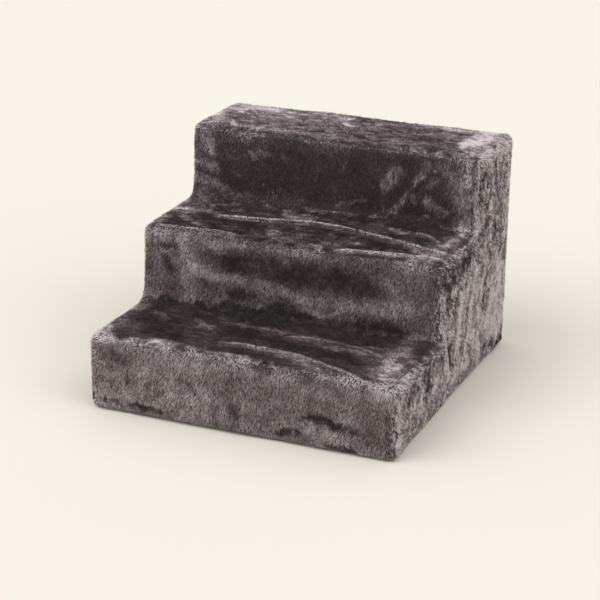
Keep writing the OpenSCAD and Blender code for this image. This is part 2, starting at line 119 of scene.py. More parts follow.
# How far the four points of a tuft lie apart across the bake's map
PALETTE_SPREAD = (-0.003, 0.0, 0.003, 0.0)

# What makes the pile's painted light and shade uneven: how far edges are torn, with the size and the
# seed of the tears, the sizes and shares of blotches and strands, and the sizes of broad streaks
TEARS = ((0.0026, 0.030, 37), (0.0032, 0.012, 31), (0.0020, 0.0045, 34))
BLOTCHES = ((0.034, 1.0), (0.013, 0.8))
STRANDS = ((0.0037, 1.0), (0.0023, 0.8))
BROAD_STREAKS = (0.011, 0.006)

# Folds slimmer than this get a painted highlight along their crests, at full strength from the first
# height on, and their pile lies flat from the second height on. A line on a face takes in points that
# stand out from the face no further than the last.
SLIM_W = 0.0045
LIT_FOLD_H = 0.0048
FLAT_FOLD_H = 0.0030
STANDS_OUT = 0.010

# The spacing of points on an outline that is walked
WALK_STEP = 0.001

# Where the faces lie: the axis that a face is square to, and its place on it
FACES = {"right": (0, HALF_W), "left": (0, -HALF_W), "back": (1, BACK)}
for step in range(STEPS):
    FACES[f"riser_{step + 1}"] = (1, FRONT + step * RUN)
    FACES[f"tread_{step + 1}"] = (2, (step + 1) * RISE)

# Folds and creases of the plush, in millimetres on their face: half of the width, the height, which
# is below zero for a crease, and the places along the line
FOLDS = {
    "tread_1": [
        (3.0, 3.1, [(-50, -176), (4, -174), (50, -180), (100, -194), (140, -211), (158, -222)]),
        (2.8, 1.7, [(20, -125), (44, -120), (76, -119), (104, -121), (128, -126), (154, -140)]),
        (3.5, 1.4, [(-97, -128), (-76, -140), (-58, -158)]),
    ],
    "tread_2": [
        (3.0, 5.0, [(-138, 5), (-70, 12), (-45, 20), (5, 27), (55, 17), (105, 3), (150, -9), (190, -22)]),
        (3.0, 3.8, [(-190, -63), (-130, -63), (-76, -60)]),
        (3.4, 3.8, [(56, -62), (86, -54), (133, -49), (190, -44)]),
        (4.0, 1.4, [(126, 50), (146, 44), (163, 27), (173, 4)]),
        (5.0, 1.6, [(-197, 4), (-170, 9), (-142, 5)]),
    ],
    "tread_3": [
        (8.0, 1.6, [(-182, 108), (-61, 116), (56, 111)]),
        (8.0, 1.6, [(-62, 180), (55, 179), (178, 192)]),
    ],
    "riser_1": [
        (4.0, -2.4, [(-180, 17), (-135, 13), (-106, 12)]),
        (5.0, -3.2, [(70, 31), (103, 41), (130, 36), (168, 29)]),
        (4.0, -2.2, [(50, 12), (72, 20), (92, 17)]),
        (4.0, -2.2, [(114, 8), (158, 6)]),
        (8.0, 1.6, [(98, 24), (150, 20)]),
    ],
    "riser_2": [
        (12.0, 1.6, [(-120, 146), (-50, 138), (40, 131), (160, 136)]),
        (9.0, -2.0, [(-120, 107), (0, 105), (150, 107)]),
    ],
    "right": [
        (5.0, 2.2, [(36, 168), (24, 125), (18, 84)]),
        (4.0, 2.6, [(-64, 112), (-46, 80), (-28, 30)]),
        (6.0, 2.0, [(8, 154), (4, 120), (12, 82)]),
        (6.0, 1.8, [(62, 262), (72, 225), (96, 190)]),
        (4.0, 2.2, [(98, 50), (114, 8)]),
    ],
    "left": [
        (6.0, 2.0, [(-150, 80), (-130, 30)]),
        (6.0, 2.2, [(30, 170), (46, 110), (40, 60)]),
    ],
    "back": [
        (7.0, 2.0, [(-90, 250), (-70, 180), (-84, 110)]),
    ],
}

# Strokes of painted light and shade on the brushed pile, in millimetres on their face: how far they
# reach, how much lighter they leave it, and the places along the line. Above zero a stroke is
# painted sheen, below zero painted shade, as along the creases and in the corners.
STROKES = {
    "riser_1": [
        (16.0, 0.10, [(-186, 84), (-184, 20)]),
        (10.0, 0.11, [(-62, 15), (26, 16)]),
        (10.0, 0.12, [(-34, 88), (66, 88)]),
        (18.0, -0.09, [(170, 92), (176, 14)]),
        (3.6, -0.52, [(-180, 20), (-160, 17), (-135, 15)]),
        (4.4, -0.64, [(-131, 15), (-106, 13)]),
        (4.2, -0.60, [(50, 13), (76, 21)]),
        (6.0, -0.18, [(76, 13), (94, 8)]),
        (3.2, -0.36, [(76, 36), (98, 41)]),
        (5.4, -0.62, [(94, 41), (120, 40)]),
        (3.8, -0.54, [(118, 38), (138, 33), (152, 34)]),
        (6.0, -0.16, [(146, 38), (160, 35)]),
        (4.4, -0.58, [(116, 9), (150, 7)]),
        (8.0, 0.10, [(96, 26), (130, 22)]),
        (8.0, -0.26, [(-8, 36), (-5, 6)]),
        (6.0, -0.16, [(-33, 34), (-32, 10)]),
        (9.0, -0.18, [(-186, 92), (-182, 48)]),
        (8.0, -0.20, [(-170, 82), (-153, 71)]),
        (4.0, -0.26, [(-152, 52), (-148, 44)]),
        (3.0, -0.28, [(-122, 50), (-122, 32)]),
        (3.5, -0.22, [(-112, 30), (-104, 36)]),
        (5.0, -0.14, [(-80, 60), (-66, 56)]),
        (6.0, -0.30, [(14, 97), (36, 92)]),
        (6.0, -0.16, [(76, 92), (100, 96)]),
        (7.0, -0.16, [(96, 66), (118, 58)]),
        (5.0, -0.24, [(192, 62), (197, 10)]),
        (9.0, 0.10, [(-130, 90), (-60, 80)]),
        (12.0, -0.10, [(84, 54), (118, 48)]),
        (10.0, -0.10, [(-186, 44), (-172, 36)]),
        (12.0, -0.10, [(92, 86), (116, 84)]),
        (10.0, 0.10, [(-150, 64), (-132, 60)]),
        (9.0, 0.10, [(-90, 36), (-40, 40)]),
    ],
    "riser_2": [
        (18.0, 0.16, [(-190, 188), (-186, 110)]),
        (12.0, 0.13, [(-104, 184), (-60, 186)]),
        (18.0, -0.11, [(176, 184), (180, 124)]),
        (7.0, 0.16, [(-196, 190), (-100, 188)]),
        (6.0, 0.16, [(-100, 191), (70, 193)]),
        (4.5, -0.34, [(-172, 176), (-156, 174)]),
        (9.0, -0.20, [(-186, 170), (-194, 140)]),
        (5.0, -0.28, [(-170, 160), (-164, 145)]),
        (13.0, 0.26, [(-150, 180), (-132, 162)]),
        (13.0, 0.22, [(-140, 150), (-140, 116)]),
        (10.0, -0.24, [(-108, 172), (-78, 165)]),
        (18.0, -0.35, [(-74, 168), (0, 161), (108, 161)]),
        (9.0, -0.13, [(86, 188), (116, 186)]),
        (9.0, 0.08, [(176, 188), (188, 182)]),
        (5.0, 0.20, [(-8, 180), (-2, 176)]),
        (3.5, 0.18, [(-58, 168), (-48, 166)]),
        (4.0, 0.16, [(36, 165), (44, 160)]),
        (8.0, 0.24, [(-126, 151), (-72, 143)]),
        (8.0, 0.16, [(-60, 141), (0, 137)]),
        (8.0, 0.18, [(0, 134), (46, 129)]),
        (10.0, 0.22, [(74, 132), (160, 136)]),
        (4.0, 0.24, [(24, 120), (52, 113)]),
        (4.0, 0.26, [(72, 123), (60, 114)]),
        (3.0, 0.24, [(-56, 107), (-34, 114)]),
        (7.0, -0.12, [(-112, 138), (-98, 128)]),
        (7.0, -0.22, [(-76, 124), (-48, 131)]),
        (7.0, -0.40, [(-120, 105), (160, 106)]),
        (6.0, -0.22, [(100, 112), (150, 114)]),
        (5.0, -0.24, [(-20, 114), (30, 113)]),
        (8.0, 0.22, [(130, 172), (140, 158)]),
        (13.0, 0.10, [(186, 192), (190, 108)]),
        (22.0, 0.10, [(168, 186), (172, 140)]),
    ],
    "riser_3": [
        (16.0, 0.17, [(-188, 288), (-184, 256)]),
        (14.0, 0.14, [(180, 244), (182, 208)]),
        (10.0, 0.16, [(-196, 290), (-132, 286)]),
        (20.0, 0.12, [(-186, 270), (-184, 220)]),
        (7.0, 0.12, [(-130, 287), (40, 288)]),
        (3.0, 0.42, [(-134, 294), (-96, 296)]),
        (2.6, 0.40, [(-60, 296), (-18, 296)]),
        (2.6, 0.28, [(0, 295), (44, 296)]),
        (3.0, 0.44, [(66, 296), (146, 296)]),
        (6.5, 0.34, [(-174, 279), (-171, 264)]),
        (7.0, 0.28, [(-190, 248), (-168, 243)]),
        (8.0, 0.34, [(-197, 226), (-184, 221)]),
        (8.0, 0.34, [(-170, 222), (-157, 219)]),
        (3.5, 0.20, [(-140, 240), (-132, 237)]),
        (8.0, 0.12, [(-152, 264), (-130, 262)]),
        (6.5, 0.26, [(-106, 274), (-90, 267)]),
        (4.5, 0.24, [(-70, 272), (-66, 264)]),
        (5.0, 0.16, [(14, 272), (15, 260)]),
        (7.0, 0.18, [(-140, 207), (-108, 208)]),
        (1.8, 0.34, [(-110, 203), (-46, 202)]),
        (6.0, 0.16, [(-72, 222), (-40, 214)]),
        (3.5, 0.30, [(10, 213), (22, 217), (46, 224)]),
        (8.0, 0.46, [(88, 268), (81, 258), (76, 250)]),
        (2.5, 0.36, [(72, 242), (68, 246)]),
        (5.0, 0.42, [(128, 281), (112, 258)]),
        (3.0, 0.26, [(142, 276), (122, 266)]),
        (4.0, 0.28, [(134, 257), (142, 262)]),
        (3.0, 0.24, [(111, 252), (104, 240)]),
        (5.5, 0.40, [(101, 238), (90, 222)]),
        (3.5, 0.28, [(114, 240), (112, 233)]),
        (2.6, 0.38, [(60, 207), (66, 208)]),
        (2.6, 0.40, [(74, 211), (90, 213)]),
        (2.6, 0.30, [(88, 222), (80, 217)]),
        (2.6, 0.30, [(124, 213), (136, 216)]),
        (7.0, 0.36, [(132, 237), (156, 222)]),
        (18.0, 0.32, [(170, 290), (176, 246)]),
        (9.0, 0.20, [(150, 282), (164, 262)]),
        (14.0, 0.34, [(188, 292), (188, 246), (184, 206)]),
        (4.5, 0.30, [(185, 296), (187, 262)]),
        (5.0, 0.44, [(200, 294), (201, 206)]),
    ],
    "tread_1": [
        (14.0, 0.24, [(-192, -90), (-188, -216)]),
        (14.0, 0.16, [(-112, -206), (-60, -210)]),
        (8.0, 0.24, [(34, -128), (66, -128)]),
        (8.0, 0.34, [(82, -140), (94, -132), (124, -136)]),
        (9.0, 0.15, [(-62, -112), (-20, -110), (16, -114)]),
        (6.0, 0.10, [(-150, -114), (-70, -116)]),
        (7.0, 0.22, [(-40, -182), (0, -180), (50, -188), (92, -202)]),
        (9.0, 0.14, [(64, -206), (110, -214)]),
        (13.0, -0.14, [(-62, -84), (20, -90), (136, -94)]),
        (26.0, 0.40, [(173, -140), (174, -160), (178, -186), (186, -216)]),
        (22.0, 0.28, [(184, -190), (184, -218)]),
        (12.0, 0.12, [(198, -140), (200, -214)]),
        (8.0, 0.16, [(160, -126), (164, -156)]),
        (12.0, 0.20, [(171, -84), (171, -118)]),
        (12.0, 0.10, [(195, -84), (198, -136)]),
        (8.0, 0.46, [(-146, -216), (-132, -212)]),
        (10.0, 0.56, [(-118, -208), (-96, -212)]),
        (6.5, 0.56, [(-69, -209), (-66, -218)]),
        (8.0, 0.58, [(-46, -216), (-16, -211), (18, -216)]),
        (4.5, 0.40, [(38, -212), (42, -218)]),
        (9.0, 0.30, [(92, -216), (150, -219)]),
        (9.0, 0.40, [(-198, -180), (-188, -220)]),
        (6.0, 0.30, [(-178, -214), (-168, -222)]),
        (9.0, 0.36, [(-92, -130), (-78, -134)]),
        (7.0, 0.26, [(-166, -112), (-144, -132)]),
        (6.0, 0.26, [(-18, -104), (-12, -116)]),
        (7.0, 0.16, [(-44, -98), (-38, -116)]),
        (9.0, 0.18, [(-200, -96), (-190, -110)]),
        (6.0, 0.20, [(126, -108), (154, -112)]),
        (6.0, 0.16, [(66, -196), (110, -206)]),
        (10.0, -0.12, [(-50, -140), (120, -160)]),
    ],
    "tread_2": [
        (10.0, 0.22, [(150, -62), (180, -61)]),
        (2.6, 0.36, [(-116, 68), (-84, 67), (-60, 66)]),
        (2.4, 0.24, [(-52, 64), (-24, 62)]),
        (3.0, -0.22, [(-56, 70), (10, 66), (60, 68)]),
        (3.0, 0.18, [(-170, 62), (-120, 60)]),
        (18.0, 0.24, [(-188, 58), (-184, 4)]),
        (14.0, 0.18, [(-62, -58), (-50, -48)]),
        (17.0, 0.17, [(20, -54), (62, -22)]),
        (10.0, 0.42, [(-190, 8), (-152, 14)]),
        (3.0, 0.34, [(-158, 46), (-146, 22)]),
        (12.0, 0.31, [(-52, 60), (-34, 46)]),
        (8.0, 0.29, [(-26, 66), (-14, 46)]),
        (5.0, 0.29, [(36, 62), (40, 50)]),
        (8.0, 0.47, [(100, 46), (114, 40)]),
        (5.0, 0.30, [(132, 50), (150, 44), (166, 26)]),
        (9.0, 0.22, [(172, 44), (180, 8)]),
        (15.0, 0.52, [(190, 66), (190, 0), (186, -40)]),
        (6.0, 0.16, [(72, -58), (110, -54), (150, -50)]),
        (10.0, 0.14, [(168, 56), (180, 42)]),
        (16.0, 0.24, [(167, -50), (167, -70)]),
        (6.0, 0.24, [(50, 12), (72, 8)]),
        (5.0, -0.10, [(88, 20), (112, 18)]),
        (9.0, 0.12, [(-22, -20), (20, -24)]),
        (7.0, 0.14, [(54, -52), (72, -58)]),
        (6.0, 0.20, [(-62, 8), (-12, 20)]),
        (3.2, -0.18, [(-184, -75), (-140, -76), (-84, -74)]),
        (5.5, 0.36, [(36, 14), (31, -2), (38, -16)]),
        (8.0, 0.44, [(-130, 8), (-80, 9)]),
        (2.5, 0.36, [(-21, 8), (-17, -6)]),
        (10.0, 0.26, [(-46, -6), (-30, -58)]),
        (8.0, 0.23, [(-14, -40), (-12, -60)]),
        (7.0, 0.26, [(-176, -12), (-130, -44)]),
        (6.0, 0.29, [(-194, -20), (-192, -56)]),
        (9.0, 0.29, [(56, -36), (76, -24)]),
        (8.0, 0.34, [(150, -22), (168, -34)]),
        (6.0, 0.30, [(26, -58), (44, -62)]),
        (10.0, -0.10, [(52, -12), (134, -22)]),
        (9.0, -0.08, [(-96, -8), (-54, -16)]),
    ],
    "tread_3": [
        (18.0, 0.08, [(-140, 196), (-136, 160)]),
        (16.0, 0.16, [(92, 170), (140, 160)]),
        (14.0, 0.16, [(-60, 168), (-22, 186)]),
        (20.0, 0.26, [(-188, 168), (-182, 92)]),
        (20.0, 0.17, [(-64, 204), (-32, 200)]),
        (14.0, 0.26, [(88, 208), (142, 204)]),
        (32.0, -0.20, [(28, 126), (84, 138)]),
        (12.0, 0.12, [(-142, 92), (-60, 94)]),
        (15.0, 0.24, [(-194, 214), (-142, 202)]),
        (7.0, 0.30, [(-172, 182), (-166, 168)]),
        (6.0, 0.16, [(-112, 205), (-96, 168)]),
        (8.0, -0.16, [(-186, 165), (-160, 130)]),
        (13.0, -0.10, [(-184, 130), (-168, 124)]),
        (14.0, -0.10, [(-74, 130), (-48, 128)]),
        (13.0, -0.08, [(0, 196), (30, 194)]),
        (9.0, -0.10, [(92, 96), (134, 95)]),
        (5.0, 0.28, [(-156, 114), (-148, 88)]),
        (4.0, 0.34, [(-114, 102), (-108, 84)]),
        (5.0, 0.26, [(-126, 80), (-106, 78)]),
        (4.0, 0.24, [(-48, 206), (-42, 196)]),
        (3.5, 0.46, [(-25, 214), (-20, 190)]),
        (4.2, 0.64, [(-18, 170), (-7, 156)]),
        (4.0, 0.34, [(-34, 90), (-22, 84)]),
        (4.0, 0.24, [(-4, 90), (6, 82)]),
        (4.0, 0.30, [(78, 80), (98, 84)]),
        (5.0, 0.46, [(108, 84), (140, 80)]),
        (26.0, -0.16, [(112, 160), (128, 112)]),
        (16.0, 0.63, [(172, 212), (168, 136)]),
        (9.0, 0.14, [(120, 200), (146, 194)]),
        (9.0, 0.14, [(-150, 98), (-126, 96)]),
        (9.0, 0.12, [(-146, 198), (-92, 196)]),
        (9.0, 0.16, [(168, 108), (178, 88)]),
        (9.0, 0.12, [(-30, 198), (-12, 194)]),
        (10.0, -0.10, [(46, 164), (66, 160)]),
        (14.0, 0.34, [(188, 222), (192, 100)]),
        (28.0, 0.18, [(-160, 196), (-100, 176)]),
        (5.0, 0.26, [(156, 136), (166, 112)]),
        (5.0, -0.22, [(164, 102), (178, 88)]),
    ],
    "right": [
        (22.0, -0.27, [(-64, 186), (50, 190), (160, 194)]),
        (14.0, -0.32, [(30, 192), (62, 190)]),
        (10.0, -0.20, [(-64, 192), (-50, 190)]),
        (14.0, -0.12, [(184, 156), (192, 146)]),
        (14.0, -0.14, [(184, 76), (192, 68)]),
        (14.0, -0.10, [(16, 72), (44, 72)]),
        (12.0, -0.12, [(-62, 192), (-20, 190)]),
        (12.0, 0.12, [(8, 34), (20, 28)]),
        (12.0, -0.14, [(-166, 36), (-154, 28)]),
        (10.0, -0.12, [(114, 236), (120, 224)]),
        (26.0, -0.22, [(-204, 80), (-60, 82)]),
        (22.0, -0.16, [(-66, 150), (-40, 152)]),
        (30.0, 0.20, [(6, 60), (190, 44)]),
        (9.0, 0.24, [(12, 120), (12, 24)]),
        (14.0, 0.22, [(196, 284), (200, 186)]),
        (9.0, 0.28, [(84, 298), (140, 294), (206, 286)]),
        (11.0, -0.26, [(86, 268), (122, 262)]),
        (6.0, 0.36, [(142, 246), (126, 226)]),
        (6.0, 0.40, [(62, 262), (66, 232), (78, 210)]),
        (4.5, -0.36, [(80, 256), (84, 228)]),
        (9.0, -0.20, [(164, 236), (188, 214)]),
        (9.0, -0.12, [(88, 238), (96, 206)]),
        (5.0, 0.22, [(170, 196), (176, 176)]),
        (26.0, 0.16, [(122, 128), (196, 92)]),
        (46.0, 0.06, [(30, 110), (180, 80)]),
        (44.0, -0.16, [(96, 256), (180, 256)]),
        (16.0, 0.12, [(100, 118), (160, 104)]),
        (16.0, 0.14, [(104, 74), (130, 70)]),
        (14.0, 0.18, [(-2, 30), (52, 32)]),
        (12.0, -0.10, [(112, 272), (116, 232)]),
        (6.0, -0.26, [(188, 74), (192, 62)]),
        (8.0, -0.50, [(162, 20), (178, 12)]),
        (11.0, -0.90, [(188, 8), (206, 12), (226, 20)]),
        (8.0, -0.34, [(134, 34), (148, 14)]),
        (6.0, 0.46, [(95, 52), (112, 8)]),
        (6.0, -0.42, [(110, 48), (126, 14)]),
        (5.0, -0.32, [(82, 38), (95, 12)]),
        (5.0, 0.24, [(-80, 190), (-74, 182)]),
        (9.0, -0.28, [(-62, 176), (-18, 166)]),
        (7.0, -0.34, [(8, 182), (42, 170)]),
        (3.0, 0.24, [(24, 188), (36, 180)]),
        (6.0, 0.36, [(36, 156), (42, 132)]),
        (9.0, 0.42, [(12, 160), (8, 120), (12, 84)]),
        (3.5, -0.38, [(-7, 150), (-6, 98)]),
        (3.5, -0.36, [(28, 158), (25, 92)]),
        (6.5, 0.62, [(-66, 112), (-48, 80), (-28, 30)]),
        (7.0, -0.52, [(-40, 84), (-16, 42)]),
        (13.0, -0.26, [(-28, 86), (-14, 58)]),
        (10.0, -0.18, [(-72, 114), (-60, 72)]),
        (13.0, -0.12, [(-200, 74), (-158, 72)]),
        (6.0, -0.18, [(28, 66), (44, 44)]),
        (5.0, 0.16, [(-88, 92), (-90, 56)]),
        (5.0, -0.20, [(62, 48), (72, 24)]),
        (3.5, 0.30, [(-214, 62), (-211, 22)]),
        (2.5, -0.60, [(-221, 56), (-219, 14)]),
        (10.0, 0.16, [(-192, 62), (-164, 52)]),
        (7.0, -0.30, [(-140, 98), (-104, 97)]),
        (8.0, 0.16, [(-130, 52), (-124, 36)]),
        (8.0, 0.16, [(-86, 40), (-74, 52)]),
    ],
    "left": [
        (16.0, 0.20, [(-150, 70), (-100, 30)]),
        (6.0, 0.34, [(30, 170), (46, 110), (40, 60)]),
        (8.0, -0.28, [(64, 150), (72, 70)]),
        (7.0, 0.30, [(120, 258), (134, 190), (126, 130)]),
        (9.0, -0.26, [(160, 240), (170, 150)]),
        (6.0, -0.30, [(-60, 160), (-48, 110)]),
    ],
    "back": [
        (12.0, 0.22, [(-140, 250), (-124, 150)]),
        (7.0, 0.34, [(-90, 250), (-70, 180), (-84, 110)]),
        (12.0, -0.26, [(-20, 270), (0, 180)]),
        (10.0, 0.24, [(70, 230), (86, 140)]),
        (9.0, -0.30, [(120, 150), (136, 50)]),
        (10.0, -0.24, [(-50, 110), (-30, 40)]),
    ],
}

# How each face's pile lies before it is stroked: how light it is, painted light and shade that differ
# from face to face by how each meets the light, and how strongly it is marked with blotches, with
# fine strands and with broad streaks, all of them painted sheen and shade
FACE_LOOK = {
    "riser_1": (0.54, 0.07, 0.03, 0.00),
    "riser_2": (0.43, 0.06, 0.03, 0.00),
    "riser_3": (0.15, 0.04, 0.02, 0.00),
    "tread_1": (0.06, 0.06, 0.06, 0.00),
    "tread_2": (0.05, 0.08, 0.10, 0.00),
    "tread_3": (0.385, 0.05, 0.13, 0.00),
    "right": (0.58, 0.07, 0.27, 0.26),
    "left": (0.57, 0.07, 0.15, 0.13),
    "back": (0.55, 0.08, 0.12, 0.12),
}


# Smooth noise, used for the relief, the comb of the pile and its patches of painted light and shade

def lattice_noise(points, size, seed):
    """Smooth noise from -1 to 1 at points (n, 3), with bumps of about the given size."""
    q = points / size
    low = np.floor(q).astype(np.int64)
    f = q - low
    f = f * f * (3 - 2 * f)
    total = np.zeros(len(points))
    for corner in np.ndindex(2, 2, 2):
        x, y, z = (low + corner).T
        # Mixing the corner's place with the seed gives it a value of its own.
        h = (x * 374761393 + y * 668265263 + z * 2147483647 + seed * 974634777) & 0xFFFFFFFF
        h = ((h ^ (h >> 13)) * 1274126177) & 0xFFFFFFFF
        value = ((h ^ (h >> 16)) & 0xFFFF) / 32767.5 - 1
        total += value * np.prod(np.where(corner, f, 1 - f), axis=1)
    return total


def ragged(points, reach, size, seed):
    """Points moved about a little, so that what is drawn on them gets an uneven edge."""
    return points + reach * np.stack([lattice_noise(points, size, seed + i) for i in range(3)], 1)


def unit(v):
    """Directions with their length made 1."""
    return v / np.maximum(np.linalg.norm(v, axis=-1, keepdims=True), 1e-12)


def smooth(low, high, value):
    """An even step from 0 at low to 1 at high."""
    t = np.clip((value - low) / (high - low), 0, 1)
    return t * t * (3 - 2 * t)


def hump(gap, width, power=2):
    """1 on a line, falling off beside it, with steeper flanks at a higher power."""
    return np.exp(-((gap / width) ** power))


# Lines on the faces

def on_face(face, places):
    """Points in metres from places in millimetres on a face."""
    axis, level = FACES[face]
    points = np.full((len(places), 3), level)
    points[:, [i for i in range(3) if i != axis]] = np.array(places, float) * MM
    return points


def curve(places):
    """The line through some places with its corners cut, three times over."""
    for _ in range(3):
        before, after = places[:-1], places[1:]
        cut = np.stack((0.75 * before + 0.25 * after, 0.25 * before + 0.75 * after), 1)
        places = np.vstack((places[:1], cut.reshape(-1, 3), places[-1:]))
    return places


def beside(points, line, reach, axis=None):
    """Which points lie near a line, how far from it, how far along it from 0 to 1, and on which side.

    With an axis, how far a point stands out along it doesn't count, as long as that is a little,
    and the last value says whether the point is to the left of the line.
    """
    low, high = line.min(0) - reach, line.max(0) + reach
    if axis is not None:
        low[axis] -= STANDS_OUT
        high[axis] += STANDS_OUT
    index = np.flatnonzero(((points > low) & (points < high)).all(1))
    spots = points[index]
    if axis is not None:
        spots[:, axis] = line[0, axis]
    gap = np.full(len(index), np.inf)
    at = np.zeros(len(index))
    left = np.zeros(len(index), bool)
    for i, (a, b) in enumerate(zip(line[:-1], line[1:])):
        t = np.clip((spots - a) @ (b - a) / ((b - a) @ (b - a)), 0, 1)
        here = np.linalg.norm(spots - a - t[:, None] * (b - a), axis=1)
        closer = here < gap
        gap[closer] = here[closer]
        at[closer] = (i + t[closer]) / (len(line) - 1)
        if axis is not None:
            left[closer] = np.cross(b - a, spots[closer] - a)[:, axis] > 0
    return index, gap, at, left


FOLD_LINES = [
    (curve(on_face(face, places)), FACES[face][0], width * MM, height * MM)
    for face, folds in FOLDS.items() for width, height, places in folds]
SLIM_FOLDS = [
    (line, axis, width, height) for line, axis, width, height in FOLD_LINES
    if height > 0 and width < SLIM_W]
STROKE_LINES = [
    (curve(on_face(face, places)), reach * MM, change)
    for face, strokes in STROKES.items() for reach, change, places in strokes]


# Outlines that are walked: each move is a length and the angle that it turns through, left positive

def walk(start, heading, moves):
    """Points, normals to the left of the way, and the distance walked at each."""
    at, angle = np.array(start, float), math.radians(heading)
    points, angles, walked = [at.copy()], [angle], [0.0]
    for length, turn in moves:
        parts = max(1, round(length / WALK_STEP))
        bend = math.radians(turn) / parts
        chord = length / parts
        for _ in range(parts):
            middle = angle + bend / 2
            at += chord * np.array((math.cos(middle), math.sin(middle)))
            angle += bend
            points.append(at.copy())
            angles.append(angle)
            walked.append(walked[-1] + chord)
    angles = np.array(angles)
    normals = np.stack((-np.sin(angles), np.cos(angles)), 1)
    return np.array(points), normals, np.array(walked)


def along(path, distance):
    """Place and normal at these distances along a walked path."""
    points, normals, walked = path
    place = np.stack([np.interp(distance, walked, points[:, i]) for i in (0, 1)], 1)
    normal = np.stack([np.interp(distance, walked, normals[:, i]) for i in (0, 1)], 1)
    return place, unit(normal)


def quarter(radius, way):
    """A move round a quarter of a circle, to the left with way 1 and to the right with -1."""
    return (radius * math.pi / 2, 90 * way)


def stairs_moves():
    """From the hem at the front, up over the steps, and down the back to the hem."""
    moves = []
    for step in range(STEPS):
        top_step = step == STEPS - 1
        below = HEM_TOP if step == 0 else CROOK_R
        ahead = NOSING_R if top_step else CROOK_R
        moves += [
            (RISE - NOSING_R - below, 0),
            quarter(NOSING_R, -1),
            (RUN - NOSING_R - ahead, 0),
            quarter(ahead, -1 if top_step else 1),
        ]
    moves.append((STEPS * RISE - NOSING_R - HEM_TOP, 0))
    return moves


OUTLINE = walk((FRONT, HEM_TOP), 90, stairs_moves())


# Relief of the cloth

def relief(points):
    """How far the plush stands out from, or sinks below, the even outline."""
    x, y, z = points.T
    lift = np.zeros(len(points))
    for height, size, seed in WAVES:
        lift += height * lattice_noise(points, size, seed)
    lift += FOOT_WAVES * smooth(0.035, 0.012, z) * lattice_noise(points, 0.022, 3)
    on_side = smooth(FLAT_W, HALF_W, np.abs(x))
    on_side_or_back = np.maximum(on_side, smooth(BACK - 0.006, BACK, y))
    lift -= FOOT_IN * on_side * smooth(0.045, 0.008, z) * smooth(0.18, 0.06, y)
    lift -= TOP_IN * on_side_or_back * smooth(0.18, 0.29, z)
    lift += BACK_OUT * on_side_or_back * smooth(0.10, 0.18, y) * smooth(0.16, 0.06, z)
    for line, axis, width, height in FOLD_LINES:
        index, gap, at, _ = beside(points, line, 3 * width, axis)
        lift[index] += height * hump(gap, width) * np.sqrt(np.sin(math.pi * at))
    return lift


# Cloth panels

def new_piece(name, bm):
    """An object in the scene with the bmesh's shape, shaded smooth."""
    mesh = bpy.data.meshes.new(name)
    bm.to_mesh(mesh)
    bm.free()
    mesh.shade_smooth()
    piece = bpy.data.objects.new(name, mesh)
    bpy.context.scene.collection.objects.link(piece)
    return piece


def mapped_grid(across, up, place, closed=False):
    """A grid of cells laid out by place(u, v), which takes shares from 0 to 1 and gives points."""
    bm = bmesh.new()
    bmesh.ops.create_grid(bm, x_segments=across, y_segments=up, size=0.5)
    shares = np.array([v.co for v in bm.verts]) + 0.5
    for vert, point in zip(bm.verts, place(shares[:, 0], shares[:, 1]), strict=True):
        vert.co = point
    if closed:
        bmesh.ops.remove_doubles(bm, verts=bm.verts, dist=1e-5)
    return bm


def finished_panel(name, bm, outward):
    """Turns a panel's faces to the outside and gives it its thickness, inwards."""
    bmesh.ops.recalc_face_normals(bm, faces=bm.faces)
    bm.normal_update()
    bm.faces.ensure_lookup_table()
    if sum(f.calc_area() * f.normal.dot(outward(f.calc_center_median())) for f in bm.faces) < 0:
        bmesh.ops.reverse_faces(bm, faces=bm.faces)
    piece = new_piece(name, bm)
    wall = piece.modifiers.new("backing", "SOLIDIFY")
    wall.thickness = BACKING_T
    wall.offset = -1
    return piece


def runner_place(u, v):
    """The strip over the steps, whose long edges roll over to the seams with the sides."""
    place, normal = along(OUTLINE, v * OUTLINE[2][-1])
    x = (2 * u - 1) * (FLAT_W + EDGE_R * SEAM)
    angle = np.clip(np.abs(x) - FLAT_W, 0, None) / EDGE_R
    out = np.stack((np.sign(x) * np.sin(angle), *(normal * np.cos(angle)[:, None]).T), 1)
    flat = np.stack((np.clip(x, -FLAT_W, FLAT_W), *(place - EDGE_R * normal).T), 1)
    on = flat + EDGE_R * out
    return on + (relief(on) - PILE_H)[:, None] * out


def build_runner():
    across = round(2 * (FLAT_W + EDGE_R * SEAM) / CELL_ACROSS)
    up = round(OUTLINE[2][-1] / CELL_ALONG)
    bm = mapped_grid(across, up, runner_place)
    return finished_panel("plush_runner", bm, lambda point: point - BODY_CORE)


def build_side(name, way):
    """A stepped side, cut from one flat piece, diced, and rolled in along its rim to the seams."""
    roll_r = EDGE_R - PILE_H
    points, normals, _ = OUTLINE
    backing = points - PILE_H * normals
    rim = backing - roll_r * (1 - math.cos(SEAM)) * normals
    corners = np.vstack((rim[::4], rim[-1:]))
    bm = bmesh.new()
    bm.faces.new([bm.verts.new((0, y, z)) for y, z in corners])
    for normal, low, high in (
        (Vector((0, 1, 0)), FRONT, BACK),
        (Vector((0, 0, 1)), 0, STEPS * RISE),
    ):
        for place in np.arange(low + CELL_ACROSS, high, CELL_SIDE):
            bmesh.ops.bisect_plane(
                bm, geom=bm.verts[:] + bm.edges[:] + bm.faces[:], plane_co=normal * place,
                plane_no=normal, dist=1e-6)
    flat = np.array([v.co[1:] for v in bm.verts])
    depth = np.array([np.sqrt(((backing - spot) ** 2).sum(1).min()) for spot in flat])
    roll = np.arccos(np.clip(1 - depth / roll_r, 0, 1))
    x = FLAT_W + roll_r * np.sin(roll)
    on = np.stack((np.full(len(flat), way * HALF_W), *flat.T), 1)
    lift = relief(on) * smooth(SEAM, math.pi / 2, roll)
    for vert, new_x in zip(bm.verts, way * (x + lift), strict=True):
        vert.co.x = new_x
    return finished_panel(name, bm, lambda point: Vector((way, 0, 0)))


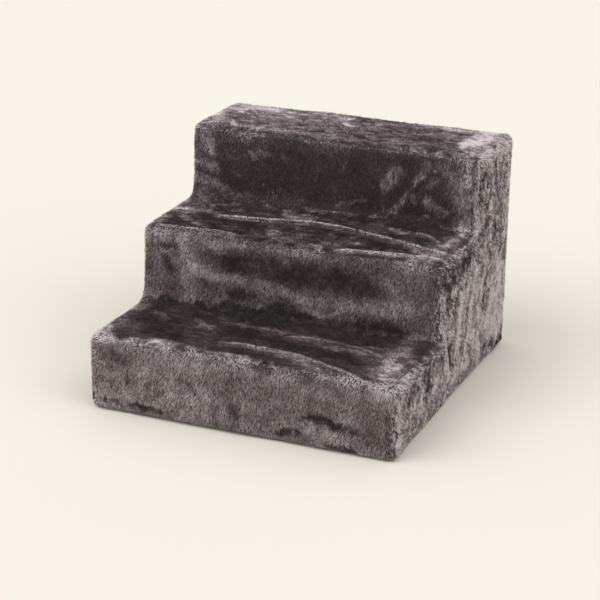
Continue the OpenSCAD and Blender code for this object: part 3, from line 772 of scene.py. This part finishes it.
def rounded_edge(share):
    """Place and outward normal on the footprint's edge, at shares of the way round it."""
    moves = []
    for side in (-FRONT, HALF_W, -FRONT, HALF_W):
        moves += [(2 * (side - EDGE_R), 0), quarter(EDGE_R, -1)]
    path = walk((-HALF_W, FRONT + EDGE_R), 90, moves)
    return along(path, share * path[2][-1])


def gathers(u):
    """The uneven waves, from -1 to 1, into which the elastic draws the cloth on the way round."""
    return np.sin(420 * u + 3 * np.sin(37 * u))


def hem_place(u, v):
    """The hem: round under the bottom edge and in beneath the frame, with shallow gathers."""
    roll = HEM_TOP - PRESSED_H
    section = walk((-PILE_H, HEM_TOP), -90, [quarter(roll, -1), (HEM_REACH - PILE_H - roll, 0)])
    place, _ = along(section, v * section[2][-1])
    edge, out = rounded_edge(u)
    drawn = relief(np.stack((*edge.T, np.full(len(u), HEM_TOP)), 1)) * smooth(0.5, 0, v)
    flat = edge + (place[:, 0] + drawn)[:, None] * out
    gather = GATHER_H * gathers(u) * smooth(0.012, 0.022, -place[:, 0])
    return np.stack((*flat.T, place[:, 1] + gather), 1)


def build_hem():
    bm = mapped_grid(CELLS_AROUND, HEM_ROWS, hem_place, closed=True)
    return finished_panel("plush_hem", bm, lambda point: Vector((point.x, point.y, -0.2)))


def elastic_place(u, v):
    """A band round the hem's inner edge, drawn into small ripples, and its rounded ribs."""
    outer = HEM_REACH - ELASTIC_MARGIN - ELASTIC_W
    edge, out = rounded_edge(u)
    flat = edge - (outer + ELASTIC_W * v)[:, None] * out
    ripple = RIPPLE_H * gathers(u)
    ribs = RIB_H * np.cos(v * ELASTIC_RIBS * 2 * math.pi)
    return np.stack((*flat.T, ELASTIC_TOP + ripple + ribs), 1)


def build_elastic():
    bm = mapped_grid(CELLS_AROUND, 4 * ELASTIC_RIBS, elastic_place, closed=True)
    return finished_panel("hem_elastic_band", bm, lambda point: Vector((0, 0, 1)))


# Pile: one tuft, modelled once and set over the cloth

def tuft_shape():
    """A slim three-sided spike of length 1, as its points and its triangles."""
    bm = bmesh.new()
    bmesh.ops.create_cone(bm, cap_ends=True, segments=3, radius1=0.5, radius2=0, depth=1)
    bmesh.ops.remove_doubles(bm, verts=bm.verts, dist=1e-4)
    bmesh.ops.translate(bm, verts=bm.verts, vec=(0, 0, 0.5))
    points = np.array([v.co for v in bm.verts])
    faces = np.array([[v.index for v in f.verts] for f in bm.faces])
    bm.free()
    return points, faces


def pile_density(points):
    """Tufts on a square metre: fewer on the left and at the back."""
    seen = (points[:, 0] > -0.19) & (points[:, 1] < BACK - 0.02)
    return np.where(seen, FULL_PILE, THIN_PILE)


def scatter(piece, rng):
    """Evenly spread places on a panel's faces, with their smooth normals."""
    mesh = piece.data
    mesh.calc_loop_triangles()
    corners = np.empty(len(mesh.loop_triangles) * 3, np.int32)
    mesh.loop_triangles.foreach_get("vertices", corners)
    points = np.empty(len(mesh.vertices) * 3)
    mesh.vertices.foreach_get("co", points)
    normals = np.empty(len(mesh.vertices) * 3)
    mesh.vertices.foreach_get("normal", normals)
    corners, points, normals = (v.reshape(-1, 3) for v in (corners, points, normals))
    a, b, c = points[corners].transpose(1, 0, 2)
    area = np.linalg.norm(np.cross(b - a, c - a), axis=1) / 2
    edge = np.cumsum(area * pile_density((a + b + c) / 3))
    count = int(edge[-1])
    where = (np.arange(count) + rng.random(count)) / count * edge[-1]
    face = np.minimum(np.searchsorted(edge, where), len(area) - 1)
    r = rng.random((count, 2))
    r = np.where(r.sum(1, keepdims=True) > 1, 1 - r, r)
    share = np.stack((1 - r.sum(1), r[:, 0], r[:, 1]), 1)[:, :, None]
    return (points[corners[face]] * share).sum(1), unit((normals[corners[face]] * share).sum(1))


def face_look(tips, normals):
    """What the faces start from, blended where they meet: the columns of FACE_LOOK.

    The lighter of the two reaches over a nosing as painted sheen, and a tread's look, the darker one
    there, goes on up the concave corner as painted shade.
    """
    depth = (tips[:, 1] - FRONT + 0.004) / RUN
    step = np.clip(np.floor(depth), 0, STEPS - 1).astype(int)
    risers, treads = (
        np.array([FACE_LOOK[f"{kind}_{i + 1}"] for i in range(STEPS)])[step]
        for kind in ("riser", "tread"))
    facing = normals + 0.06 * lattice_noise(tips, 0.009, 41)[:, None]
    concave = depth - step > 0.5
    # A riser's look gives way to the tread's where the normal has turned up this far.
    nosing_turn = np.where(treads[:, 0] > risers[:, 0], 0.50, 0.86)
    turn_at = np.where(concave, 0.05, nosing_turn)
    turn_over = np.where(concave, 0.60, 0.13)
    look = risers
    for share, other in (
        (smooth(0.40, 0.60, facing[:, 1]), FACE_LOOK["back"]),
        (smooth(turn_at, turn_at + turn_over, facing[:, 2]), treads),
        (smooth(0.15, 0.60, facing[:, 0]), FACE_LOOK["right"]),
        (smooth(0.45, 0.75, -facing[:, 0]), FACE_LOOK["left"]),
    ):
        look = look + share[:, None] * (np.array(other) - look)
    return look.T


def painted_light_of(points, normals, comb):
    """How light the brushed pile is painted, from 0 to 1, as painted shade and painted sheen."""
    tips = points + PILE_H * normals
    # The marks and the strokes are drawn with torn edges, and the strands run along the grain.
    torn = tips
    for reach, size, seed in TEARS:
        torn = ragged(torn, reach, size, seed)
    grain = np.where(normals[:, 2:] > 0.8, ACROSS, comb)
    wavy = ragged(points, 0.004, 0.013, 51)
    lengthwise = grain * (wavy * grain).sum(1, keepdims=True)
    painted_light, blotches, strands, broad = face_look(torn, normals)
    for size, share in BLOTCHES:
        painted_light = painted_light + share * blotches * np.tanh(3 * lattice_noise(points, size, 11))
    for size, share in STRANDS:
        painted_light += share * strands * np.tanh(4 * lattice_noise(wavy - 0.64 * lengthwise, size, 13))
    for size in BROAD_STREAKS:
        painted_light += broad * lattice_noise(wavy - 0.86 * lengthwise, size, 14)
    painted_light += 0.07 * lattice_noise(points, 0.0026, 15) + 0.06
    # The strokes of painted light and shade are speckled.
    brushed = 0.95 + 0.5 * lattice_noise(points, 0.005, 19)
    for line, reach, change in STROKE_LINES:
        index, gap, _, _ = beside(torn, line, 1.5 * reach + 0.001)
        painted_light[index] += change * brushed[index] * hump(gap, reach, 3)
    # Slim folds get a painted highlight on their crests and, more faintly, down their front flanks.
    for line, axis, width, height in SLIM_FOLDS:
        index, gap, at, behind = beside(tips, line, 5 * width, axis)
        uneven = 0.96 + 0.22 * lattice_noise(tips[index], 0.012, 17)
        shown = np.sin(math.pi * at) ** 0.35 * min(1, height / LIT_FOLD_H)
        crest = hump(gap, width, 4)
        flank = hump(gap, 2.4 * width) * np.where(behind, 0.05, 0.38)
        painted_light[index] += shown * uneven * np.maximum(crest, flank)
    return painted_light


def laid_flat(way, normals):
    """Directions turned into the plane of the cloth."""
    return unit(way - normals * (way * normals).sum(1, keepdims=True))


def combed(place, normal, seed, rng):
    """How the pile is combed at these places, and the way in which each tuft lies."""
    over_edge = smooth(FLAT_W - 0.006, FLAT_W + 0.004, np.abs(place[:, 0])) * np.sign(place[:, 0])
    comb = laid_flat(COMB + 0.6 * over_edge[:, None] * ACROSS, normal)
    turn = (
        math.radians(18) * lattice_noise(place, 0.055, 21 + seed)
        + math.radians(22) * lattice_noise(place, 0.006, 22 + seed)
        + math.radians(16) * rng.standard_normal(len(place))
    )[:, None]
    return comb, comb * np.cos(turn) + np.cross(normal, comb) * np.sin(turn)


def along_folds(points, normals, way):
    """Turns the pile on the folds' crests along them, and says how much it is flattened there."""
    tips = points + PILE_H * normals
    flat = np.zeros(len(points))
    for line, axis, width, height in SLIM_FOLDS:
        index, gap, _, _ = beside(tips, line, 3 * width, axis)
        share = hump(gap, 1.4 * width) * min(1, height / FLAT_FOLD_H)
        ahead = unit(line[-1] - line[0])
        way[index] += share[:, None] * (2.5 * ahead - way[index])
        flat[index] = np.maximum(flat[index], share)
    return laid_flat(way, normals), flat


def tuft_axes(way, normal, lean, rng):
    """The directions along each tuft and, at a random spin, across it."""
    ahead = way * np.cos(lean)[:, None] + normal * np.sin(lean)[:, None]
    level = unit(np.cross(ahead, normal + 0.3 * way))
    spin = rng.random(len(way)) * 2 * math.pi
    across = level * np.cos(spin)[:, None] + np.cross(ahead, level) * np.sin(spin)[:, None]
    return ahead, across, np.cross(ahead, across)


def add_pile(piece, rng, seed):
    """Sets the pile on a panel, in pieces of a size that the export keeps whole."""
    place, normal = scatter(piece, rng)
    count = len(place)
    comb, way = combed(place, normal, seed, rng)
    way, flat = along_folds(place, normal, way)
    # Tufts that stand further apart are wider and lie lower.
    sparse = np.sqrt(FULL_PILE / pile_density(place))
    # Each tuft's painted light: painted sheen where light, painted shade where dark.
    painted_light = painted_light_of(place, normal, comb)
    # Where the pile is painted dark it is more even, and so is pile that a fold has flattened.
    calm = smooth(0.50, 0.10, painted_light)
    uneven = 0.13 + 0.19 * np.clip(normal[:, 0], 0, 1)
    painted_light += uneven * (1 - 0.6 * calm) * (1 - 0.7 * flat) * rng.standard_normal(count)
    # Under the hem the pile is pressed flat.
    pressed = smooth(-0.35, -0.9, normal[:, 2])
    lean = np.radians(
        LEAN / sparse + 7 * lattice_noise(place, 0.006, 23 + seed) + 8 * rng.standard_normal(count))
    lean = lean * (1 - 0.8 * np.maximum(pressed, 0.75 * flat)) * (1 - 0.35 * calm)
    ahead, across, up = tuft_axes(way, normal, lean, rng)
    length = TUFT_L * (1 - 0.45 * pressed) * (1 - 0.45 * flat) * (
        1 + 0.11 * lattice_noise(place, 0.005, 24 + seed) + 0.10 * rng.standard_normal(count))
    width = TUFT_W * sparse * (1 + 0.2 * rng.standard_normal(count)).clip(0.5, 1.6)
    shape, faces = tuft_shape()
    points = (place - ROOT_DEPTH * normal)[:, None]
    for size, part, direction in ((length, 2, ahead), (width, 0, across), (width, 1, up)):
        points = points + (size[:, None] * shape[:, part])[..., None] * direction[:, None]
    points[..., 2] = np.maximum(points[..., 2], FLOOR_GAP)
    painted_light = painted_light.clip(0.01, 0.99)
    parts = math.ceil(count / MOST_TUFTS)
    return [
        pile_piece(f"{piece.name}_pile_{i + 1}", points[some], faces, painted_light[some], shape[:, 2])
        for i, some in enumerate(np.array_split(np.arange(count), parts))
    ]


def pile_piece(name, points, faces, painted_light, rise):
    """One mesh of many tufts, which carries each tuft's painted light and how high its points lie in it.
    """
    count, corners = points.shape[:2]
    every = (faces[None] + corners * np.arange(count)[:, None, None]).reshape(-1, 3)
    mesh = bpy.data.meshes.new(name)
    mesh.vertices.add(count * corners)
    mesh.vertices.foreach_set("co", points.astype(np.float32).ravel())
    mesh.loops.add(every.size)
    mesh.loops.foreach_set("vertex_index", every.ravel().astype(np.int32))
    mesh.polygons.add(len(every))
    mesh.polygons.foreach_set("loop_start", np.arange(0, every.size, 3, dtype=np.int32))
    mesh.update(calc_edges=True)
    painted_lights = np.repeat(painted_light, corners)
    rises = np.tile(rise, count)
    for label, values in (("painted_light", painted_lights), ("rise", rises)):
        layer = mesh.attributes.new(label, "FLOAT", "POINT")
        layer.data.foreach_set("value", values.astype(np.float32))
    # The bake's map is a palette: across it the painted light, and up it the height in the tuft.
    spread = np.tile(PALETTE_SPREAD, count)
    palette = np.stack((painted_lights + spread, 0.03 + 0.94 * rises + np.abs(spread)), 1)
    chart = mesh.uv_layers.new(name="OFBake")
    chart.data.foreach_set("uv", palette[every.ravel()].astype(np.float32).ravel())
    piece = bpy.data.objects.new(name, mesh)
    bpy.context.scene.collection.objects.link(piece)
    return piece


# Materials

def new_material(name):
    material = bpy.data.materials.new(name)
    material.use_nodes = True
    nodes = material.node_tree.nodes
    return material, nodes, material.node_tree.links, nodes["Principled BSDF"]


def colour_ramp(nodes, links, value, stops):
    """A ramp of colours that a value runs along."""
    ramp = nodes.new("ShaderNodeValToRGB")
    while len(ramp.color_ramp.elements) < len(stops):
        ramp.color_ramp.elements.new(0.5)
    for element, (place, colour) in zip(ramp.color_ramp.elements, stops, strict=True):
        element.position = place
        element.color = (*colour, 1)
    links.new(value, ramp.inputs["Fac"])
    return ramp.outputs["Color"]


def own_value(nodes, name):
    """A value that the mesh carries at its points."""
    attribute = nodes.new("ShaderNodeAttribute")
    attribute.attribute_name = name
    return attribute.outputs["Fac"]


def noise_value(nodes, links, scale, detail):
    """Noise that lies fixed in the object's own frame."""
    coordinates = nodes.new("ShaderNodeTexCoord")
    noise = nodes.new("ShaderNodeTexNoise")
    noise.inputs["Scale"].default_value = scale
    noise.inputs["Detail"].default_value = detail
    links.new(coordinates.outputs["Object"], noise.inputs["Vector"])
    return noise.outputs["Fac"]


def pile_material():
    """The pile's colour follows its painted light, and its tufts get painted shade at their root ends."""
    material, nodes, links, shader = new_material("brushed_pile")
    # The painted light picks the colour, from painted shade to painted sheen.
    colour = colour_ramp(nodes, links, own_value(nodes, "painted_light"), [
        (0.0, (0.030, 0.0216, 0.0214)),
        (0.33, (0.140, 0.108, 0.107)),
        (0.66, (0.394, 0.332, 0.334)),
        (1.0, (0.920, 0.842, 0.858)),
    ])
    # Painted shade: each tuft is darker low down, as though shadowed deep in the pile.
    root_shade = colour_ramp(nodes, links, own_value(nodes, "rise"), [
        (0.0, (0.30, 0.30, 0.30)),
        (0.55, (1, 1, 1)),
    ])
    mixed = nodes.new("ShaderNodeMix")
    mixed.data_type = "RGBA"
    mixed.blend_type = "MULTIPLY"
    mixed.inputs["Factor"].default_value = 1
    links.new(colour, mixed.inputs["A"])
    links.new(root_shade, mixed.inputs["B"])
    links.new(mixed.outputs["Result"], shader.inputs["Base Color"])
    shader.inputs["Roughness"].default_value = 0.80
    shader.inputs["Specular IOR Level"].default_value = 0.12
    shader.inputs["Sheen Weight"].default_value = 0.08
    shader.inputs["Sheen Roughness"].default_value = 0.5
    return material


def mottled_material(name, low, high, roughness, mottle, bump, grain=None):
    """A material that is mottled from one colour to another, with a fine bump.

    The mottle and the grain are each a noise's scale and detail, and the bump is its strength and
    its height. Without a grain, the bump follows the mottle.
    """
    material, nodes, links, shader = new_material(name)
    patches = noise_value(nodes, links, *mottle)
    colour = colour_ramp(nodes, links, patches, [(0.3, low), (0.7, high)])
    links.new(colour, shader.inputs["Base Color"])
    shader.inputs["Roughness"].default_value = roughness
    height = noise_value(nodes, links, *grain) if grain else patches
    bumped = nodes.new("ShaderNodeBump")
    bumped.inputs["Strength"].default_value, bumped.inputs["Distance"].default_value = bump
    links.new(height, bumped.inputs["Height"])
    links.new(bumped.outputs["Normal"], shader.inputs["Normal"])
    return material


def plastic_material(name, low, high, roughness):
    return mottled_material(
        name, low, high, roughness, mottle=(9, 3), bump=(0.25, 0.0002), grain=(1400, 1))


def dress_frame():
    """The frame's CAD nodes keep their shape and get moulded plastic, tube or rubber."""
    moulding = plastic_material("moulded_plastic", (0.62, 0.62, 0.60), (0.68, 0.68, 0.66), 0.45)
    tube = plastic_material("plastic_tube", (0.74, 0.74, 0.73), (0.80, 0.80, 0.79), 0.30)
    rubber = plastic_material("rubber", (0.020, 0.020, 0.020), (0.032, 0.032, 0.032), 0.75)
    for name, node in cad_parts.items():
        if name.startswith("post_"):
            finish = tube
        elif name == "rubber_feet":
            finish = rubber
        else:
            finish = moulding
        node.data.materials.clear()
        node.data.materials.append(finish)


# Camera, stage and light

def place_camera():
    """The camera that was fitted to the stairs' outline in the photograph."""
    camera = bpy.data.objects.new("camera", bpy.data.cameras.new("camera"))
    camera.data.lens = 109.8
    camera.data.sensor_width = 36
    camera.data.clip_end = 50
    camera.location = (0.8169, -2.0910, 0.9086)
    target = Vector((-0.0035, -0.0188, 0.1080))
    roll = Quaternion((0, 0, 1), math.radians(1.33))
    camera.rotation_mode = "QUATERNION"
    camera.rotation_quaternion = (target - camera.location).to_track_quat("-Z", "Y") @ roll
    bpy.context.scene.collection.objects.link(camera)
    bpy.context.scene.camera = camera


def soft_sun(name, way_down, strength, angle):
    """A sun that shines this way, with a disc of this many degrees."""
    lamp = bpy.data.lights.new(name, "SUN")
    lamp.energy = strength
    lamp.angle = math.radians(angle)
    holder = bpy.data.objects.new(name, lamp)
    holder.rotation_mode = "QUATERNION"
    holder.rotation_quaternion = Vector(way_down).to_track_quat("-Z", "Y")
    bpy.context.scene.collection.objects.link(holder)


def build_stage():
    """A pale floor under a pale sky, with one sun from the front and one from the right."""
    bm = bmesh.new()
    bmesh.ops.create_grid(bm, x_segments=1, y_segments=1, size=12)
    floor = new_piece("floor", bm)
    material, _, _, shader = new_material("pale_floor")
    shader.inputs["Base Color"].default_value = (0.80, 0.765, 0.70, 1)
    shader.inputs["Roughness"].default_value = 0.9
    shader.inputs["Specular IOR Level"].default_value = 0.1
    floor.data.materials.append(material)
    world = bpy.data.worlds.new("studio")
    world.use_nodes = True
    background = world.node_tree.nodes["Background"]
    background.inputs["Color"].default_value = (1.0, 0.99, 0.97, 1)
    background.inputs["Strength"].default_value = 0.72
    bpy.context.scene.world = world
    soft_sun("key_sun", (0.45, 0.62, -0.8), 1.3, 50)
    soft_sun("right_sun", (-0.8, 0.35, -0.7), 0.92, 60)
    bpy.context.scene.view_settings.view_transform = "Standard"


place_camera()
build_stage()
dress_frame()

# The cover's panels: the node that each stands for, its flat size, and its area if that is less
cover = [
    (build_runner(), "cover_runner", (0.405, 0.982), None),
    (build_side("plush_side_left", -1), "cover_side_left", (0.45, 0.30), 0.082),
    (build_side("plush_side_right", 1), "cover_side_right", (0.45, 0.30), 0.082),
    (build_hem(), "cover_hem", (0.028, 1.70), None),
]
elastic = build_elastic()
elastic.data.materials.append(mottled_material(
    "woven_elastic", (0.010, 0.010, 0.010), (0.024, 0.024, 0.024), 0.85,
    mottle=(900, 2), bump=(0.4, 0.0002)))
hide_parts("hem_elastic")
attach(elastic, "root")

pile = pile_material()
backing = mottled_material(
    "knitted_backing", (0.020, 0.017, 0.017), (0.045, 0.038, 0.037), 0.95,
    mottle=(220, 3), bump=(0.5, 0.0006))
rng = np.random.default_rng(7)
for number, (panel, node, cut, area) in enumerate(cover):
    tufts = add_pile(panel, rng, 10 * number)
    for piece in tufts:
        piece.data.materials.append(pile)
        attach(piece, "root")
    panel.data.materials.append(backing)
    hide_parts(node)
    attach(panel, "root")
